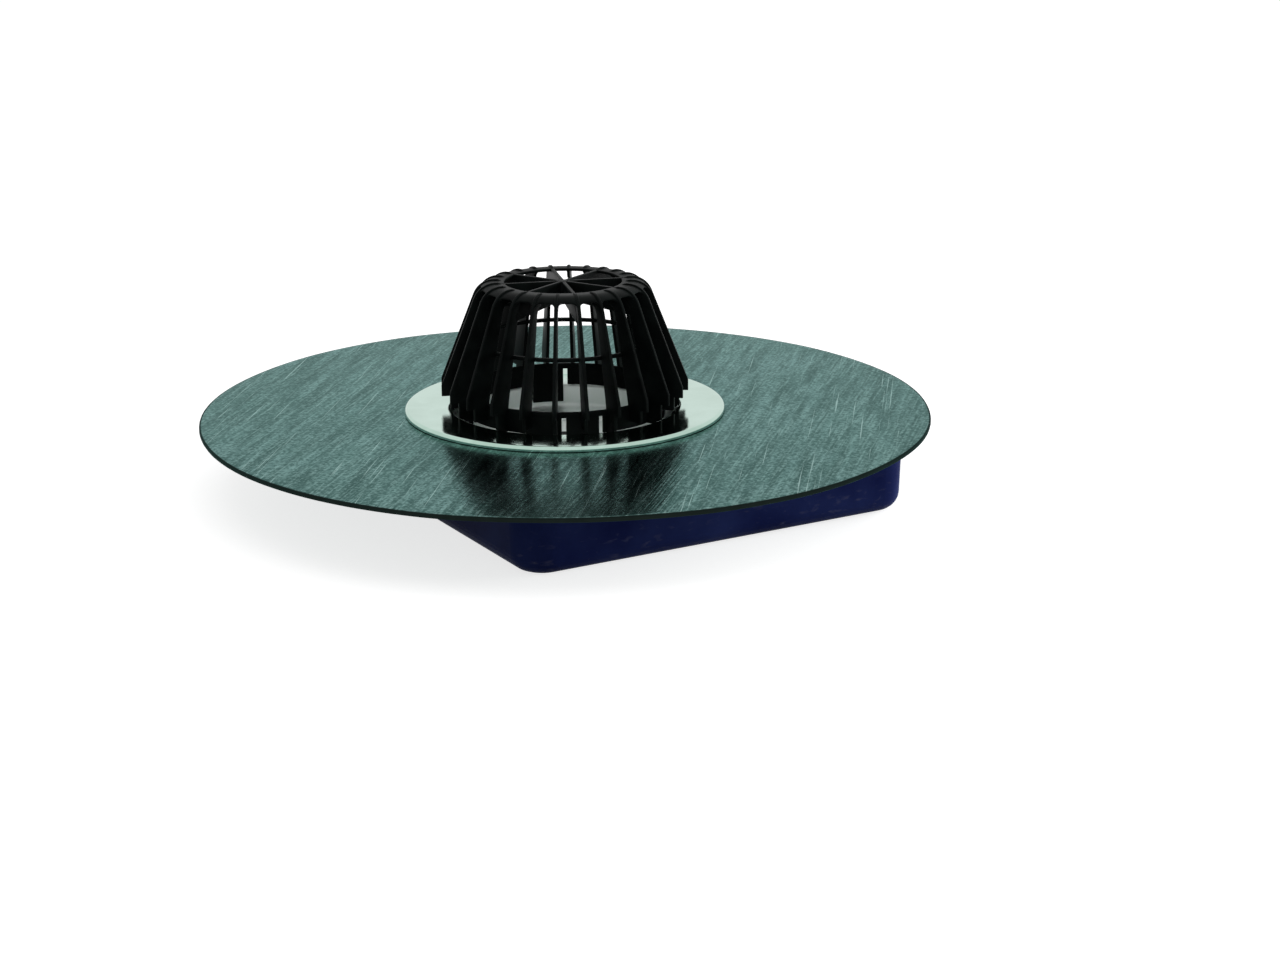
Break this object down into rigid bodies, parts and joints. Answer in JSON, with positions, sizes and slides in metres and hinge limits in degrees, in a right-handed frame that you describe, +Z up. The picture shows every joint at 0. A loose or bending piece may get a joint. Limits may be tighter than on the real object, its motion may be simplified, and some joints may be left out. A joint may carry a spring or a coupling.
{
  "type": "flat roof drain",
  "caption": "Flat roof drain: finned leaf guard over a pressed steel bowl that clamps a round lead collar, on a moulded housing tray with a push-in pipe socket.",
  "frame": {"origin": "on the drain's vertical axis, at the mouth of the pipe socket in the tray's bottom", "axes": "+Z up along the drain's axis, +X along the tray's shorter side towards its longer overhang, +Y along the tray's longer side"},
  "size_m": [0.4999, 0.5, 0.146],
  "materials": {
    "guard_plastic": "satin",
    "bowl_steel": "polished",
    "bush_steel": "satin",
    "gasket_rubber": "matte",
    "collar_lead": "matte",
    "clamp_steel": "satin",
    "bolt_steel": "satin",
    "foam": "matte",
    "tray_plastic": "satin",
    "socket_plastic": "satin",
    "seal_rubber": "matte"
  },
  "bodies": {
    "root": {"leaf_guard": "guard_plastic", "drain_bowl": "bowl_steel", "rim_bushes": "bush_steel", "upper_gasket": "gasket_rubber", "collar_sheet": "collar_lead", "lower_gasket": "gasket_rubber", "clamp_ring": "clamp_steel", "clamp_bolts": "bolt_steel", "bolt_washers": "bolt_steel", "insulation_core": "foam", "housing_tray": "tray_plastic", "outlet_socket": "socket_plastic", "pipe_lip_seal": "seal_rubber", "spigot_ring": "seal_rubber", "socket_gasket": "gasket_rubber", "socket_screws": "bolt_steel"}
  },
  "joints": []
}
